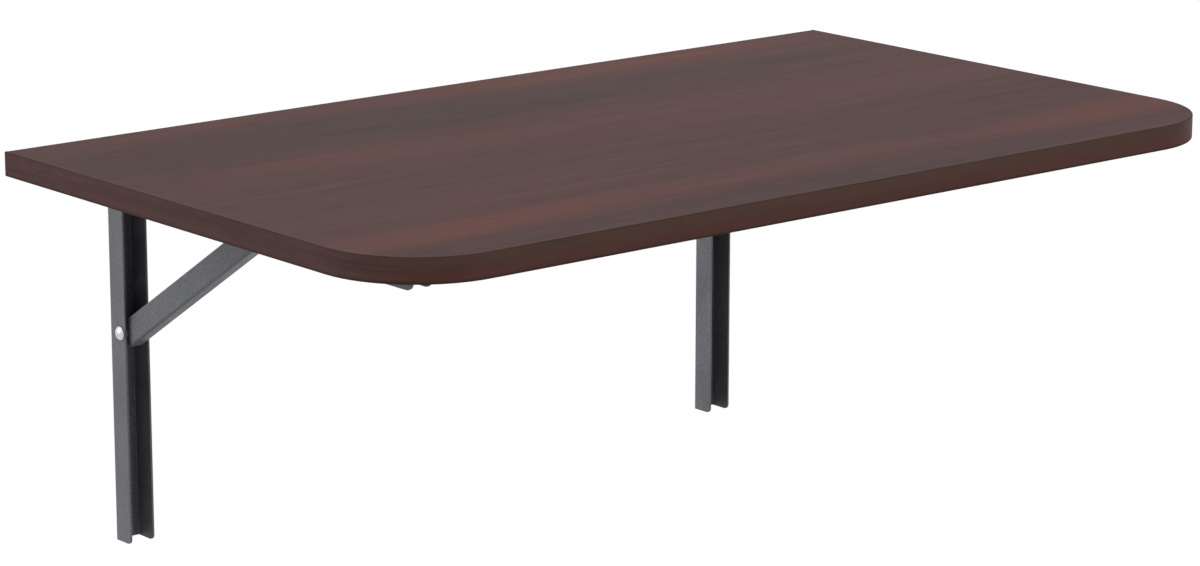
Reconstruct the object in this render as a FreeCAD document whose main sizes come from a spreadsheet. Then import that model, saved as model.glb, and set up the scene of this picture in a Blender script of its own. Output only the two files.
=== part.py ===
# Wall mounted drop leaf table: a laminated board on two folding steel brackets.
# X runs along the wall, the wall is the plane y = 0, the table stands out towards -Y and +Z is up.
# The origin is the middle of the four outer wall screw holes.
import FreeCAD, Part
import math
import os
import Sketcher
from types import SimpleNamespace

# Driving sizes in millimetres. A depth is measured from the wall, a drop from the board's underside.
SIZES = (
    # board
    ("board_width", 780),
    ("board_depth", 460),
    ("board_thickness", 18),
    ("corner_radius", 75),
    ("laminate_thickness", 0.8),
    ("band_thickness", 2),
    ("band_round", 1),
    ("wall_gap", 16),
    # bracket sheet and wall rail
    ("bracket_inset", 104.5),
    ("steel", 1.5),
    ("bend_radius", 2.3),
    ("rail_width", 21),
    ("rail_depth", 20),
    ("rail_top_gap", 5),
    ("rail_length", 286.2),
    ("rail_corner", 4),
    ("wall_hole_radius", 2.5),
    ("wall_hole_top_drop", 56),
    ("wall_hole_middle_drop", 96),
    ("wall_hole_end_inset", 19.2),
    # arm under the board
    ("arm_tip", 27.9),
    ("arm_tip_radius", 7),
    ("arm_height", 33),
    ("heel_radius", 8.5),
    ("fold_clearance", 0.5),
    ("arm_side_clearance", 0.4),
    ("notch_clearance", 0.8),
    # brace and the pin that slides along the arm
    ("brace_drop", 106.2),
    ("brace_above", 7),
    ("brace_below", 11.4),
    ("brace_side_clearance", 0.7),
    ("pin_reach", 187),
    ("slot_rise", 10.5),
    ("seat_clearance", 0.4),
    ("seat_ramp", 27),
    ("seat_lip", 4),
    ("web_setback", 12),
    # rivets, spacers, pins and washers
    ("rivet_radius", 3),
    ("rivet_clearance", 0.05),
    ("rivet_head_radius", 5.3),
    ("rivet_head_height", 3),
    ("spacer_radius", 4.5),
    ("spacer_clearance", 0.1),
    ("pin_radius", 3),
    ("pin_clearance", 0.1),
    ("pin_head_radius", 4.6),
    ("pin_head_height", 1.8),
    ("washer_radius", 6),
    ("washer_thickness", 1),
    # screws that hold the arms to the board
    ("screw_first_depth", 60),
    ("screw_setback", 12.5),
    ("screw_radius", 2),
    ("screw_clearance", 0.1),
    ("screw_bite", 12),
    ("screw_point", 3),
    ("screw_head_radius", 4),
    ("screw_head_height", 2.2),
    # spring catch that keeps the pin at its rest end
    ("spring_length", 52),
    ("spring_side_clearance", 0.9),
    ("spring_thickness", 0.8),
    ("spring_tab", 9),
    ("catch_clearance", 0.3),
    ("catch_drop", 2),
    ("catch_rivet_inset", 8),
    ("catch_rivet_radius", 1.6),
    ("catch_rivet_head_radius", 3),
    ("catch_rivet_head_height", 1.2),
    # how far a cut runs past the piece that it cuts
    ("overrun", 5),
)
SIDES = (("left", -1), ("right", 1))
# how nearly parallel an edge has to be, and how near two places count as one
PARALLEL_SHARE = 0.999
NEAR_SHARE = 1e-9


class Size:
    """A length as the expression that binds it to the sheet, with its value."""

    def __init__(self, text, value):
        self.text = text
        self.value = value

    def join(self, sign, other, value):
        return Size(f"({self.text} {sign} {other.text})", value)

    def __add__(self, other):
        return self.join("+", other, self.value + other.value)

    def __sub__(self, other):
        return self.join("-", other, self.value - other.value)

    def __neg__(self):
        return Size(f"(-{self.text})", -self.value)

    def __mul__(self, factor):
        return Size(f"({self.text} * {factor})", self.value * factor)

    def __truediv__(self, factor):
        return Size(f"({self.text} / {factor})", self.value / factor)


ZERO = Size("0", 0.0)


def hypotenuse(a, b):
    return Size(f"sqrt({a.text}^2 + {b.text}^2)", math.hypot(a.value, b.value))


def other_leg(long_side, leg):
    value = math.sqrt(long_side.value ** 2 - leg.value ** 2)
    return Size(f"sqrt({long_side.text}^2 - {leg.text}^2)", value)


def dome_radius(half_width, height):
    """Radius of the ball that a domed head is cut from."""
    text = f"(({half_width.text}^2 + {height.text}^2) / (2 * {height.text}))"
    return Size(text, (half_width.value ** 2 + height.value ** 2) / (2 * height.value))


def make_sheet(doc):
    """Write the driving sizes into the sheet and return them by name."""
    sheet = doc.addObject("Spreadsheet::Sheet", "Sizes")
    for row, (name, value) in enumerate(SIZES, 1):
        sheet.set(f"A{row}", name)
        sheet.set(f"B{row}", str(value))
        sheet.setAlias(f"B{row}", name)
    doc.recompute()
    return SimpleNamespace(**{name: Size(f"Sizes.{name}", float(value)) for name, value in SIZES})


def add_derived(s):
    """Sizes that several pieces share, worked out from the driving ones."""
    s.board_back = -s.wall_gap
    s.board_front = -(s.wall_gap + s.board_depth)
    s.bracket_pitch = s.board_width - s.bracket_inset * 2
    s.rail_bottom = s.rail_top_gap + s.rail_length
    s.wall_hole_bottom_drop = s.rail_bottom - s.wall_hole_end_inset
    s.underside = (s.wall_hole_top_drop + s.wall_hole_bottom_drop) / 2
    s.rail_inner = s.rail_width - s.steel * 2
    s.arm_width = s.rail_inner - s.arm_side_clearance * 2
    s.arm_inner = s.arm_width - s.steel * 2
    s.arm_back = s.steel + s.fold_clearance
    s.brace_width = s.arm_inner - s.brace_side_clearance * 2
    s.brace_inner = s.brace_width - s.steel * 2
    s.hinge_depth = s.arm_back + s.heel_radius
    s.hinge_drop = s.arm_height - s.heel_radius
    s.pivot_depth = s.arm_back + s.brace_below
    s.pivot_drop = s.hinge_drop + s.brace_drop
    s.pin_depth = s.hinge_depth + s.pin_reach
    s.pin_drop = s.hinge_drop - s.slot_rise
    s.pivot_offset = s.pivot_depth - s.hinge_depth
    s.brace_run = s.pin_reach - s.pivot_offset
    s.brace_rise = s.brace_drop + s.slot_rise
    s.brace_length = hypotenuse(s.brace_run, s.brace_rise)
    s.folded_lean = s.slot_rise - s.pivot_offset
    s.pin_travel = s.brace_drop + other_leg(s.brace_length, s.folded_lean) - s.pin_reach
    s.rivet_hole = s.rivet_radius + s.rivet_clearance
    s.pin_hole = s.pin_radius + s.pin_clearance
    s.slot_end = s.pin_depth + s.pin_travel
    s.arm_front = s.slot_end + s.pin_hole + s.arm_tip
    s.screw_hole = s.screw_radius + s.screw_clearance
    s.catch_depth = s.pin_depth + s.pin_radius + s.catch_clearance
    s.spring_end = s.catch_depth + s.spring_length
    s.catch_rivet_depth = s.spring_end - s.catch_rivet_inset
    s.catch_rivet_hole = s.catch_rivet_radius + s.rivet_clearance
    s.screw_depths = (
        s.screw_first_depth,
        s.pin_depth - s.screw_setback,
        (s.spring_end + s.arm_front) / 2,
    )


def new_body(doc, label, x=ZERO, y=ZERO, z=ZERO):
    body = doc.addObject("PartDesign::Body", label)
    body.Label = label
    for axis, length in (("x", x), ("y", y), ("z", z)):
        body.setExpression(f"Placement.Base.{axis}", length.text)
    return body


def new_sketch(body, name, plane, height=ZERO):
    """A sketch on one of the body's own planes, raised along the plane's normal."""
    sketch = body.newObject("Sketcher::SketchObject", f"{body.Label}_{name}")
    support = next(f for f in body.Origin.OriginFeatures if f.Role == plane)
    sketch.AttachmentSupport = [(support, "")]
    sketch.MapMode = "FlatFace"
    sketch.setExpression("AttachmentOffset.Base.z", height.text)
    return sketch


def bind(sketch, kind, *where_and_length):
    *where, length = where_and_length
    index = sketch.addConstraint(Sketcher.Constraint(kind, *where, length.value))
    sketch.setExpression(f"Constraints[{index}]", length.text)


def bind_point(sketch, geometry, point, x, y):
    bind(sketch, "DistanceX", -1, 1, geometry, point, x)
    bind(sketch, "DistanceY", -1, 1, geometry, point, y)


def vector(point):
    return FreeCAD.Vector(point[0].value, point[1].value, 0)


def draw_outline(sketch, points, arcs=None, scooped=()):
    """A closed outline; arcs maps a segment's number to its centre, scooped ones run clockwise."""
    arcs = arcs or {}
    count = len(points)
    ends = [(2, 1) if i in scooped else (1, 2) for i in range(count)]
    for i, point in enumerate(points):
        start = vector(point)
        end = vector(points[(i + 1) % count])
        if i in arcs:
            centre = vector(arcs[i])
            circle = Part.Circle(centre, FreeCAD.Vector(0, 0, 1), centre.distanceToPoint(start))
            angles = [math.atan2(p.y - centre.y, p.x - centre.x) for p in (start, end)]
            if i in scooped:
                angles.reverse()
            sketch.addGeometry(Part.ArcOfCircle(circle, *angles))
        else:
            sketch.addGeometry(Part.LineSegment(start, end))
    for i, point in enumerate(points):
        after = (i + 1) % count
        sketch.addConstraint(Sketcher.Constraint("Coincident", i, ends[i][1], after, ends[after][0]))
        bind_point(sketch, i, ends[i][0], *point)
    for i, centre in arcs.items():
        chord = vector(points[(i + 1) % count]) - vector(points[i])
        if abs(chord.y) >= abs(chord.x):
            bind(sketch, "DistanceX", -1, 1, i, 3, centre[0])
        else:
            bind(sketch, "DistanceY", -1, 1, i, 3, centre[1])


def draw_rectangle(sketch, low_x, low_y, high_x, high_y):
    draw_outline(sketch, [(low_x, low_y), (high_x, low_y), (high_x, high_y), (low_x, high_y)])


def draw_circle(sketch, x, y, radius):
    centre = vector((x, y))
    index = sketch.addGeometry(Part.Circle(centre, FreeCAD.Vector(0, 0, 1), radius.value))
    bind_point(sketch, index, 3, x, y)
    bind(sketch, "Radius", index, radius)


def pad(body, sketch, length, symmetric=True):
    feature = body.newObject("PartDesign::Pad", f"{sketch.Label}_pad")
    feature.Profile = sketch
    feature.SideType = "Symmetric" if symmetric else "One side"
    feature.setExpression("Length", length.text)
    body.Document.recompute()


def cut(body, sketch, length=None):
    """Cut both ways from the sketch, right through or to a total length, and see that it cut."""
    before = body.Shape.Volume
    feature = body.newObject("PartDesign::Pocket", f"{sketch.Label}_cut")
    feature.Profile = sketch
    feature.SideType = "Symmetric"
    if length is None:
        feature.Type = "ThroughAll"
    else:
        feature.setExpression("Length", length.text)
    body.Document.recompute()
    if not body.Shape.Volume < before:
        raise RuntimeError(f"{feature.Label} cuts nothing")


def revolve(body, sketch, axis):
    feature = body.newObject("PartDesign::Revolution", f"{sketch.Label}_turn")
    feature.Profile = sketch
    feature.ReferenceAxis = (sketch, [axis])
    body.Document.recompute()


def fillet(body, name, radius, chosen):
    """Round the edges of the body's last feature that chosen picks."""
    base = body.Tip
    edges = [f"Edge{i}" for i, edge in enumerate(base.Shape.Edges, 1) if chosen(edge)]
    feature = body.newObject("PartDesign::Fillet", f"{body.Label}_{name}")
    feature.Base = (base, edges)
    feature.setExpression("Radius", radius.text)
    body.Document.recompute()


def runs_along(axis, **places):
    """Choose straight edges along one axis that lie at the given places on the others."""

    def chosen(edge):
        if len(edge.Vertexes) != 2:
            return False
        first, last = (vertex.Point for vertex in edge.Vertexes)
        span = last - first
        along = abs(getattr(span, axis)) > span.Length * PARALLEL_SHARE
        reach = span.Length * NEAR_SHARE
        return along and all(abs(getattr(first, k) - p.value) < reach for k, p in places.items())

    return chosen


def board_outline(sketch, s, inset, back):
    """The board's outline, drawn in by an inset at the sides and the front."""
    side = s.board_width / 2 - inset
    front = s.board_front + inset
    radius = s.corner_radius - inset
    points = [
        (-side, back),
        (-side, front + radius),
        (-side + radius, front),
        (side - radius, front),
        (side, front + radius),
        (side, back),
    ]
    arcs = {
        1: (-side + radius, front + radius),
        3: (side - radius, front + radius),
    }
    draw_outline(sketch, points, arcs)


def board_layer(doc, s, label, rise, thickness):
    """One flat layer of the board; rise is how far its lower face stands above the underside."""
    body = new_body(doc, label, z=s.underside)
    sketch = new_sketch(body, "outline", "XY_Plane", rise)
    board_outline(sketch, s, s.band_thickness, s.board_back - s.band_thickness)
    pad(body, sketch, thickness, symmetric=False)
    return body


def drill_board(body, s, depth):
    """Pilot holes for the arm screws, from the underside up."""
    sketch = new_sketch(body, "pilot_holes", "XY_Plane")
    for _, sign in SIDES:
        for screw_depth in s.screw_depths:
            draw_circle(sketch, s.bracket_pitch / 2 * sign, -screw_depth, s.screw_hole)
    cut(body, sketch, depth * 2)


def make_board(doc, s):
    core_thickness = s.board_thickness - s.laminate_thickness * 2
    core = board_layer(doc, s, "tabletop_core", s.laminate_thickness, core_thickness)
    drill_board(core, s, s.screw_bite + s.screw_clearance)
    bottom = board_layer(doc, s, "bottom_laminate", ZERO, s.laminate_thickness)
    drill_board(bottom, s, s.laminate_thickness + s.overrun)
    board_layer(doc, s, "top_laminate", s.board_thickness - s.laminate_thickness, s.laminate_thickness)
    make_edge_band(doc, s)
    make_back_band(doc, s)


def make_edge_band(doc, s):
    """Edging that runs round the left side, the front and the right side in one strip."""
    body = new_body(doc, "edge_band", z=s.underside)
    outer = new_sketch(body, "outer", "XY_Plane")
    board_outline(outer, s, ZERO, s.board_back)
    pad(body, outer, s.board_thickness, symmetric=False)

    def on_rim(edge):
        upright = edge.BoundBox.ZLength > s.band_round.value
        return not upright and edge.BoundBox.YMin < s.board_back.value - s.band_round.value

    fillet(body, "rim", s.band_round, on_rim)
    inner = new_sketch(body, "inner", "XY_Plane")
    board_outline(inner, s, s.band_thickness, s.board_back + s.overrun)
    cut(body, inner)


def make_back_band(doc, s):
    """Edging of the straight edge towards the wall, between the ends of the long strip."""
    body = new_body(doc, "back_edge_band", z=s.underside)
    sketch = new_sketch(body, "outline", "XY_Plane")
    side = s.board_width / 2 - s.band_thickness
    draw_rectangle(sketch, -side, s.board_back - s.band_thickness, side, s.board_back)
    pad(body, sketch, s.board_thickness, symmetric=False)
    fillet(body, "rim", s.band_round, runs_along("x", y=s.board_back))


def bracket_body(doc, s, label, sign, depth=ZERO, drop=ZERO):
    """A bracket piece: its body's planes stand at the bracket's middle, at a depth and a drop."""
    return new_body(doc, label, s.bracket_pitch / 2 * sign, -depth, s.underside - drop)


def make_rail(doc, s, side, sign):
    """Channel with its web on the wall, open to the front."""
    body = bracket_body(doc, s, f"{side}_wall_rail", sign)
    outline = new_sketch(body, "outline", "YZ_Plane")
    draw_rectangle(outline, -s.rail_depth, -s.rail_bottom, ZERO, -s.rail_top_gap)
    pad(body, outline, s.rail_width)
    fillet(body, "front_corners", s.rail_corner, runs_along("x", y=-s.rail_depth))
    hollow = new_sketch(body, "hollow", "XY_Plane")
    half = s.rail_inner / 2
    draw_rectangle(hollow, -half, -(s.rail_depth + s.overrun), half, -s.steel)
    cut(body, hollow)
    fillet(body, "outer_bends", s.bend_radius, runs_along("z", y=ZERO))
    fillet(body, "inner_bends", s.bend_radius - s.steel, runs_along("z", y=-s.steel))
    rivet_holes = new_sketch(body, "rivet_holes", "YZ_Plane")
    for depth, drop in ((s.hinge_depth, s.hinge_drop), (s.pivot_depth, s.pivot_drop)):
        draw_circle(rivet_holes, -depth, -drop, s.rivet_hole)
    cut(body, rivet_holes)
    wall_holes = new_sketch(body, "wall_holes", "XZ_Plane")
    for drop in (s.wall_hole_top_drop, s.wall_hole_middle_drop, s.wall_hole_bottom_drop):
        draw_circle(wall_holes, ZERO, -drop, s.wall_hole_radius)
    cut(body, wall_holes)


def make_arm(doc, s, side, sign):
    """Channel under the board, open downwards, that folds into the rail."""
    body = bracket_body(doc, s, f"{side}_arm", sign)
    outline = new_sketch(body, "outline", "YZ_Plane")
    draw_rectangle(outline, -s.arm_front, -s.arm_height, -s.arm_back, ZERO)
    pad(body, outline, s.arm_width)
    fillet(body, "heel", s.heel_radius, runs_along("x", y=-s.arm_back, z=-s.arm_height))
    fillet(body, "tip", s.arm_tip_radius, runs_along("x", y=-s.arm_front, z=-s.arm_height))
    hollow = new_sketch(body, "hollow", "XZ_Plane")
    half = s.arm_inner / 2
    draw_rectangle(hollow, -half, -(s.arm_height + s.overrun), half, -s.steel)
    cut(body, hollow)
    fillet(body, "outer_bends", s.bend_radius, runs_along("y", z=ZERO))
    fillet(body, "inner_bends", s.bend_radius - s.steel, runs_along("y", z=-s.steel))
    cut_arm_sides(body, s)
    web_holes = new_sketch(body, "web_holes", "XY_Plane")
    for screw_depth in s.screw_depths:
        draw_circle(web_holes, ZERO, -screw_depth, s.screw_hole)
    draw_circle(web_holes, ZERO, -s.catch_rivet_depth, s.catch_rivet_hole)
    cut(body, web_holes)


def cut_arm_sides(body, s):
    """Hinge hole, the pin's slot, and the notch that clears the brace rivet when folded."""
    hinge = new_sketch(body, "hinge_hole", "YZ_Plane")
    draw_circle(hinge, -s.hinge_depth, -s.hinge_drop, s.rivet_hole)
    cut(body, hinge)
    slot = new_sketch(body, "slot", "YZ_Plane")
    inner = -s.pin_depth
    outer = -s.slot_end
    middle = -s.pin_drop
    points = [
        (outer, middle - s.pin_hole),
        (inner, middle - s.pin_hole),
        (inner, middle + s.pin_hole),
        (outer, middle + s.pin_hole),
    ]
    draw_outline(slot, points, {1: (inner, middle), 3: (outer, middle)})
    cut(body, slot)
    notch = new_sketch(body, "notch", "YZ_Plane")
    radius = s.spacer_radius + s.notch_clearance
    centre = -(s.hinge_depth + s.brace_drop)
    top = s.pivot_offset - s.hinge_drop
    low = -(s.arm_height + s.overrun)
    points = [
        (centre - radius, low),
        (centre + radius, low),
        (centre + radius, top),
        (centre - radius, top),
    ]
    draw_outline(notch, points, {2: (centre, top)})
    cut(body, notch)


def make_brace(doc, s, side, sign):
    """Channel strut, web below, drawn level from its pivot and then tilted up to the pin."""
    body = bracket_body(doc, s, f"{side}_brace", sign, s.pivot_depth, s.pivot_drop)
    for axis, share in (("x", "1"), ("y", "0"), ("z", "0")):
        body.setExpression(f"Placement.Rotation.Axis.{axis}", share)
    body.setExpression("Placement.Rotation.Angle", f"-atan({s.brace_rise.text} / {s.brace_run.text})")
    seat_radius = s.pin_radius + s.seat_clearance
    tip = s.brace_length + seat_radius + s.seat_lip
    outline = new_sketch(body, "outline", "YZ_Plane")
    draw_rectangle(outline, -tip, -s.brace_below, s.brace_below, s.brace_above)
    pad(body, outline, s.brace_width)
    hollow = new_sketch(body, "hollow", "XZ_Plane")
    half = s.brace_inner / 2
    draw_rectangle(hollow, -half, s.steel - s.brace_below, half, s.brace_above + s.overrun)
    cut(body, hollow)
    fillet(body, "outer_bends", s.bend_radius, runs_along("y", z=-s.brace_below))
    fillet(body, "inner_bends", s.bend_radius - s.steel, runs_along("y", z=s.steel - s.brace_below))
    cut_brace_end(body, s)
    web_end = new_sketch(body, "web_end", "XY_Plane")
    draw_rectangle(web_end, -half, -(tip + s.overrun), half, s.web_setback - s.brace_length)
    cut(body, web_end)
    pivot = new_sketch(body, "pivot_hole", "YZ_Plane")
    draw_circle(pivot, ZERO, ZERO, s.rivet_hole)
    cut(body, pivot)
    seat = new_sketch(body, "seat", "YZ_Plane")
    draw_circle(seat, -s.brace_length, ZERO, seat_radius)
    cut(body, seat)
    mouth = new_sketch(body, "mouth", "YZ_Plane")
    end = -(s.brace_length + seat_radius)
    start = s.seat_ramp - s.brace_length
    top = s.brace_above + s.overrun
    points = [
        (end, ZERO),
        (-s.brace_length, -seat_radius),
        (start, s.brace_above),
        (start, top),
        (end, top),
    ]
    draw_outline(mouth, points)
    cut(body, mouth)


def cut_brace_end(body, s):
    """Round the lower end about the pivot, so that it turns clear of the rail's web."""
    sketch = new_sketch(body, "round_end", "YZ_Plane")
    past = s.brace_below + s.overrun
    shoulder = other_leg(s.brace_below, s.brace_above)
    points = [
        (ZERO, -past),
        (past, -past),
        (past, past),
        (shoulder, past),
        (shoulder, s.brace_above),
        (ZERO, -s.brace_below),
    ]
    draw_outline(sketch, points, {4: (ZERO, ZERO)}, scooped=(4,))
    cut(body, sketch)


def make_rivet(doc, label, s, sign, depth, drop, span, radius, head_radius, head_height):
    """Cross pin along X with a domed head on each end, span apart."""
    body = bracket_body(doc, s, label, sign, depth, drop)
    sketch = new_sketch(body, "profile", "XY_Plane")
    half = span / 2
    end = half + head_height
    ball = dome_radius(head_radius, head_height)
    points = [
        (-end, ZERO),
        (end, ZERO),
        (half, head_radius),
        (half, radius),
        (-half, radius),
        (-half, head_radius),
    ]
    draw_outline(sketch, points, {1: (end - ball, ZERO), 5: (ball - end, ZERO)})
    revolve(body, sketch, "H_Axis")


def make_ring_pair(doc, label, s, sign, depth, drop, radius, hole, outer_span, inner_span):
    """Two flat rings on one cross pin, one on each side of what runs between them."""
    body = bracket_body(doc, s, label, sign, depth, drop)
    ring = new_sketch(body, "ring", "YZ_Plane")
    draw_circle(ring, ZERO, ZERO, radius)
    draw_circle(ring, ZERO, ZERO, hole)
    pad(body, ring, outer_span)
    middle = new_sketch(body, "middle", "YZ_Plane")
    draw_circle(middle, ZERO, ZERO, radius + s.overrun)
    cut(body, middle, inner_span)


def make_pins(doc, s, side, sign):
    """Hinge and brace rivets in the rail, and the pin that joins the brace to the arm's slot."""
    rivet = (s.rail_width, s.rivet_radius, s.rivet_head_radius, s.rivet_head_height)
    make_rivet(doc, f"{side}_hinge_rivet", s, sign, s.hinge_depth, s.hinge_drop, *rivet)
    make_rivet(doc, f"{side}_brace_rivet", s, sign, s.pivot_depth, s.pivot_drop, *rivet)
    spacer_gap = s.brace_width + s.spacer_clearance * 2
    spacer = (s.spacer_radius, s.rivet_hole, s.rail_inner, spacer_gap)
    make_ring_pair(doc, f"{side}_brace_spacers", s, sign, s.pivot_depth, s.pivot_drop, *spacer)
    washer_gap = s.arm_width + s.pin_clearance * 2
    span = washer_gap + s.washer_thickness * 2
    pin = (span, s.pin_radius, s.pin_head_radius, s.pin_head_height)
    make_rivet(doc, f"{side}_slide_pin", s, sign, s.pin_depth, s.pin_drop, *pin)
    washer = (s.washer_radius, s.pin_hole, span, washer_gap)
    make_ring_pair(doc, f"{side}_slide_washers", s, sign, s.pin_depth, s.pin_drop, *washer)


def draw_screw(sketch, points_above, radius, head_radius, head_height, head_drop):
    """Half profile of a screw or rivet that stands upright, its domed head below."""
    seat = -head_drop
    crown = seat - head_height
    points = [(ZERO, crown), (head_radius, seat), (radius, seat)] + points_above
    draw_outline(sketch, points, {0: (ZERO, crown + dome_radius(head_radius, head_height))})


def make_arm_screws(doc, s, side, sign):
    """Wood screws up through the arm's web into the board, one solid each."""
    body = bracket_body(doc, s, f"{side}_arm_screws", sign)
    above = [(s.screw_radius, s.screw_bite - s.screw_point), (ZERO, s.screw_bite)]
    for number, depth in enumerate(s.screw_depths, 1):
        sketch = new_sketch(body, f"profile_{number}", "XZ_Plane", depth)
        draw_screw(sketch, above, s.screw_radius, s.screw_head_radius, s.screw_head_height, s.steel)
        revolve(body, sketch, "V_Axis")


def make_catch(doc, s, side, sign):
    """Flat spring under the arm's web, bent down in front of the pin, and its rivet."""
    body = bracket_body(doc, s, f"{side}_lock_spring", sign)
    sketch = new_sketch(body, "profile", "YZ_Plane")
    near = -s.catch_depth
    far = -s.spring_end
    leg = near - s.spring_thickness
    tab = near - s.spring_tab
    top = -s.steel
    under = top - s.spring_thickness
    foot = -(s.pin_drop + s.catch_drop)
    sole = foot - s.spring_thickness
    strip = [(near, top), (far, top), (far, under), (leg, under)]
    finger_tab = [(leg, foot), (tab, foot), (tab, sole), (near, sole)]
    draw_outline(sketch, strip + finger_tab)
    pad(body, sketch, s.brace_inner - s.spring_side_clearance * 2)
    hole = new_sketch(body, "rivet_hole", "XY_Plane")
    draw_circle(hole, ZERO, -s.catch_rivet_depth, s.catch_rivet_hole)
    cut(body, hole)
    rivet = bracket_body(doc, s, f"{side}_lock_rivet", sign, s.catch_rivet_depth)
    profile = new_sketch(rivet, "profile", "XZ_Plane")
    flush = [(s.catch_rivet_radius, ZERO), (ZERO, ZERO)]
    head = (s.catch_rivet_head_radius, s.catch_rivet_head_height)
    draw_screw(profile, flush, s.catch_rivet_radius, *head, s.steel + s.spring_thickness)
    revolve(rivet, profile, "V_Axis")


def check_and_export(doc):
    """Stop at the first failed object, then write each sub-part to its own file."""
    doc.recompute()
    for item in doc.Objects:
        if "Invalid" in item.State or "Error" in item.State:
            raise RuntimeError(f"{item.Label} failed: {item.State}")
    bodies = [item for item in doc.Objects if item.TypeId == "PartDesign::Body"]
    for body in bodies:
        if body.Shape.isNull() or not body.Shape.isValid():
            raise RuntimeError(f"{body.Label} has no valid shape")
    os.makedirs("parts", exist_ok=True)
    for body in bodies:
        body.Shape.exportStep(os.path.join("parts", f"{body.Label}.step"))
        print(body.Label, len(body.Shape.Solids), "solids", round(body.Shape.Volume), "mm3")


def main():
    doc = FreeCAD.newDocument("drop_leaf_table")
    sizes = make_sheet(doc)
    add_derived(sizes)
    make_board(doc, sizes)
    for side, sign in SIDES:
        make_rail(doc, sizes, side, sign)
        make_arm(doc, sizes, side, sign)
        make_brace(doc, sizes, side, sign)
        make_pins(doc, sizes, side, sign)
        make_arm_screws(doc, sizes, side, sign)
        make_catch(doc, sizes, side, sign)
    check_and_export(doc)


main()
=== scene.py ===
import math

import bmesh
import bpy
from mathutils import Color, Matrix, Vector


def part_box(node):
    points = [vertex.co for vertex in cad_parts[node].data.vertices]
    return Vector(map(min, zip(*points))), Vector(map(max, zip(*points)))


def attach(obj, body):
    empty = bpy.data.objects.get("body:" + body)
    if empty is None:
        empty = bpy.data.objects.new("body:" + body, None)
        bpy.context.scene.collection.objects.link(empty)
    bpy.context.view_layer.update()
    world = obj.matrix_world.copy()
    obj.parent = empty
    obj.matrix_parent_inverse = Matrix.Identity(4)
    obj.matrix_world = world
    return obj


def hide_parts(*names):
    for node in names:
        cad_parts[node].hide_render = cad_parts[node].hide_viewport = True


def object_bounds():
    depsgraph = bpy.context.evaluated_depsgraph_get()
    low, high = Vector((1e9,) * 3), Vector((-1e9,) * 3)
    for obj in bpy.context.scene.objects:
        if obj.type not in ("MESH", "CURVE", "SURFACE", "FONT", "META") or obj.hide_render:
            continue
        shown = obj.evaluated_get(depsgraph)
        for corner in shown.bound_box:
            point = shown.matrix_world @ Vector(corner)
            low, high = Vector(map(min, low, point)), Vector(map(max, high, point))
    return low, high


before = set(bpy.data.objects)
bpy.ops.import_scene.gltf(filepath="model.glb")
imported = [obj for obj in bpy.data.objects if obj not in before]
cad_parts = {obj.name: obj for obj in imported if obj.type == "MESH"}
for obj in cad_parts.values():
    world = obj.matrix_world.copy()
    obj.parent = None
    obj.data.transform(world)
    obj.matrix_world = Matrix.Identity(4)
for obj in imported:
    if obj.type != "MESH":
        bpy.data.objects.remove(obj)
cad_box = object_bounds()

MM = 0.001
TOP_LEVEL = 255
SIDES = ("left", "right")


def mm(*lengths):
    """Lengths in millimetres as metres."""
    return tuple(length * MM for length in lengths)


def srgb(red, green, blue):
    """A display colour, 0 to 255, as the linear colour that shaders take."""
    shown = Color((red / TOP_LEVEL, green / TOP_LEVEL, blue / TOP_LEVEL))
    return (*shown.from_srgb_to_scene_linear(), 1.0)


def middle_of(node):
    """Middle of a node's box at rest."""
    low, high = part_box(node)
    return (low + high) / 2


# Kinds of noise: layers of detail, and how strong the fine layers are.
SOFT = (2.0, 0.5)
SPOTTY = (1.0, 0.5)
CLOUDY = (3.0, 0.5)
STRINGY = (2.0, 0.6)
ROUGH = (3.0, 0.6)
# A noise's middle, the stretch about it, and the wider stretch where most of its values lie.
NOISE_MIDDLE = 0.5
NEAR_MIDDLE = (0.35, 0.65)
MOST = (0.3, 0.7)
# An edge shows where the rounded normal leaves the flat one: cosines on the flat and on the edge.
EDGE_COSINES = (0.99, 0.85)
BEVEL_SAMPLES = 6


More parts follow.
